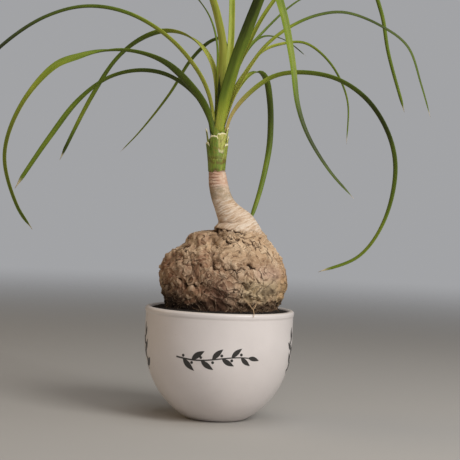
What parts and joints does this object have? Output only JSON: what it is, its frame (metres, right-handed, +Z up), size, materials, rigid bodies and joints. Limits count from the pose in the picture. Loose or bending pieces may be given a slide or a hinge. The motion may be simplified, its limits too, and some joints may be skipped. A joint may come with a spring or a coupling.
{
  "type": "potted ponytail palm",
  "caption": "Young ponytail palm with a swollen corky base, a bent trunk and long arching strap leaves, in a round-bottomed glazed pot.",
  "frame": {"origin": "centre of the pot's flat foot, on the surface that it stands on", "axes": "+Z up, -Y towards the front of the plant, where its broadest leaf arches over, +X to the right seen from the front"},
  "size_m": [0.3826, 0.2658, 0.4034],
  "materials": {
    "glazed_pot": "cream satin glaze",
    "potting_soil": "dark, crumbly peat and bark mix",
    "corky_bark": "rough, cracked cork that turns smooth and ringed up the trunk",
    "leaf_sheath": "green clasping leaf bases with dry cream edges",
    "leaf_blade": "satin green blade with fine long veins"
  },
  "bodies": {
    "root": {"pot": "glazed_pot", "soil": "potting_soil", "caudex_and_trunk": "corky_bark", "leaf_base_neck": "leaf_sheath", "leaf_front_broad": "leaf_blade", "leaf_left_curl": "leaf_blade", "leaf_right_curl": "leaf_blade", "leaf_young": "leaf_blade", "leaf_left_high": "leaf_blade", "leaf_left_spotted": "leaf_blade", "leaf_left_low": "leaf_blade", "leaf_right_high": "leaf_blade", "leaf_right_short": "leaf_blade", "leaf_front_up": "leaf_blade", "leaf_upright": "leaf_blade", "leaf_back_arching": "leaf_blade", "leaf_back_right": "leaf_blade", "leaf_back_left": "leaf_blade", "leaf_thin_back": "leaf_blade", "leaf_thin_right": "leaf_blade", "leaf_thin_left": "leaf_blade"}
  },
  "joints": []
}
